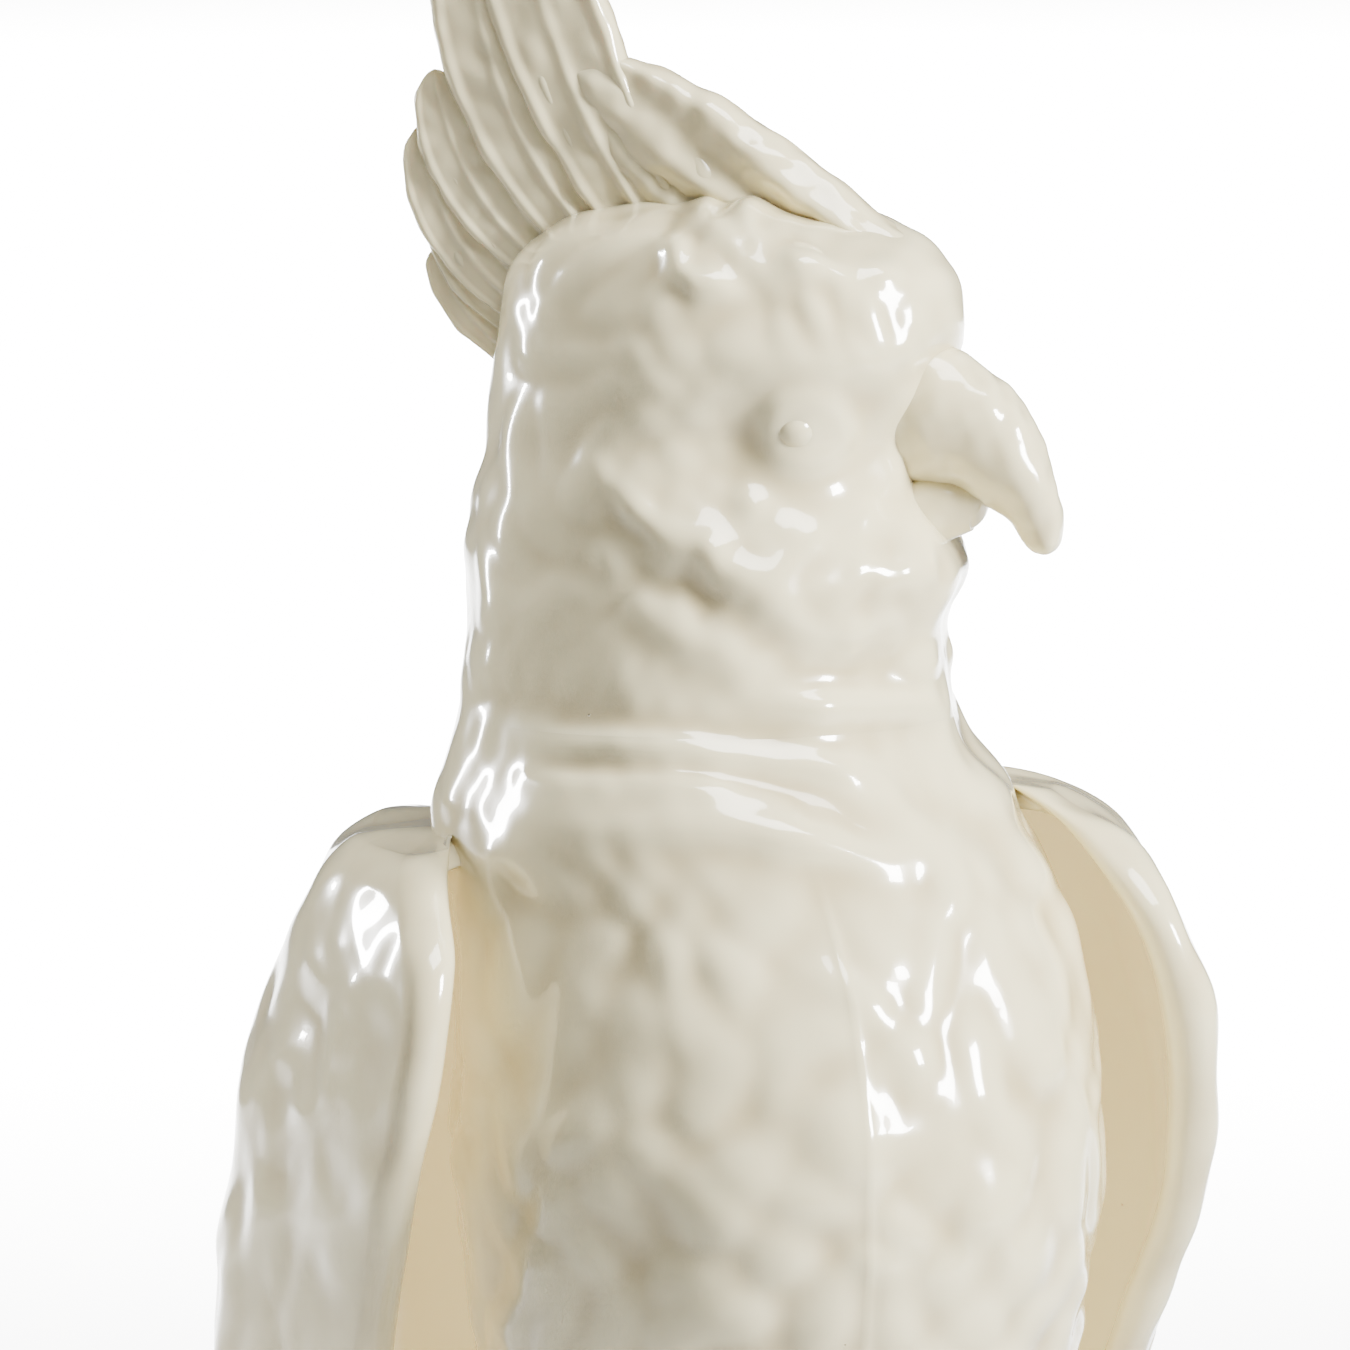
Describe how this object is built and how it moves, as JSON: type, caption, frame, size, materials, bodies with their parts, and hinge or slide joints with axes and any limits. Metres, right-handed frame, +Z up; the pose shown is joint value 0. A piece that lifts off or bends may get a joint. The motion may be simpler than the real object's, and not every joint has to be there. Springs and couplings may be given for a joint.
{
  "type": "cockatoo figurine",
  "caption": "Hollow glazed ceramic cockatoo with a fanned crest, turned head and cape-like half-open wings, perched on a tree-stump base that rests flat.",
  "frame": {"origin": "centre of the stump's foot, on the flat underside that the figure rests on", "axes": "+Z up the figure; the chest faces -Y, so the bird's left wing is on +X; the head is turned 60 degrees from -Y towards +X"},
  "size_m": [0.1534, 0.1269, 0.4182],
  "materials": {
    "ivory_glaze": "glossy ivory-white glaze, warm grey where it pools in hollows",
    "bare_biscuit": "matt unglazed fired clay"
  },
  "bodies": {
    "root": {"stump": "ivory_glaze", "torso": "ivory_glaze", "head": "ivory_glaze", "right_eye": "ivory_glaze", "left_eye": "ivory_glaze", "upper_beak": "ivory_glaze", "lower_beak": "ivory_glaze", "right_wing": "ivory_glaze", "left_wing": "ivory_glaze", "tail": "ivory_glaze", "right_foot": "ivory_glaze", "left_foot": "ivory_glaze", "right_leg": "ivory_glaze", "left_leg": "ivory_glaze", "crest_feather_1": "ivory_glaze", "crest_feather_2": "ivory_glaze", "crest_feather_3": "ivory_glaze", "crest_feather_4": "ivory_glaze", "crest_feather_5": "ivory_glaze", "crest_feather_6": "ivory_glaze", "crest_feather_7": "ivory_glaze", "crest_feather_8": "ivory_glaze", "foot_slab": "bare_biscuit"}
  },
  "joints": []
}
